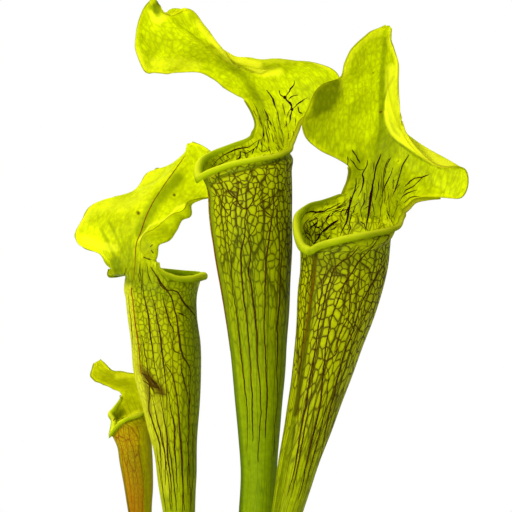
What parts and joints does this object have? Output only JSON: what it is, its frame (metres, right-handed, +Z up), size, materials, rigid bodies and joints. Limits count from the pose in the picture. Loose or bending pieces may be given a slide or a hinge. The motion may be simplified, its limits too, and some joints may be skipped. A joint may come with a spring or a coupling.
{
  "type": "potted pitcher plant",
  "caption": "Trumpet pitcher plant with tall veined tube leaves under arched lids, growing from a rhizome in peat in a plain tapered clay pot.",
  "frame": {"origin": "centre of the pot's foot, on the surface that the pot stands on", "axes": "+Z up; +Y points away from the show side, so the pictured view looks along +Y; +X to the right in that view"},
  "size_m": [0.2565, 0.16, 0.586],
  "materials": {
    "pot_clay": "unglazed red clay, matte and slightly porous",
    "peat": "moist dark peat with white perlite grains",
    "rhizome_bark": "dull brown sheathed rhizome",
    "leaf_green": "waxy yellow-green leaf with a net of dark purple-brown veins, light comes through it",
    "leaf_amber": "waxy amber to red-brown leaf with a yellow-green lid"
  },
  "bodies": {
    "root": {"pot": "pot_clay", "soil": "peat", "rhizome": "rhizome_bark", "pitcher_tall": "leaf_green", "pitcher_right": "leaf_green", "pitcher_left": "leaf_green", "pitcher_small": "leaf_amber"}
  },
  "joints": []
}
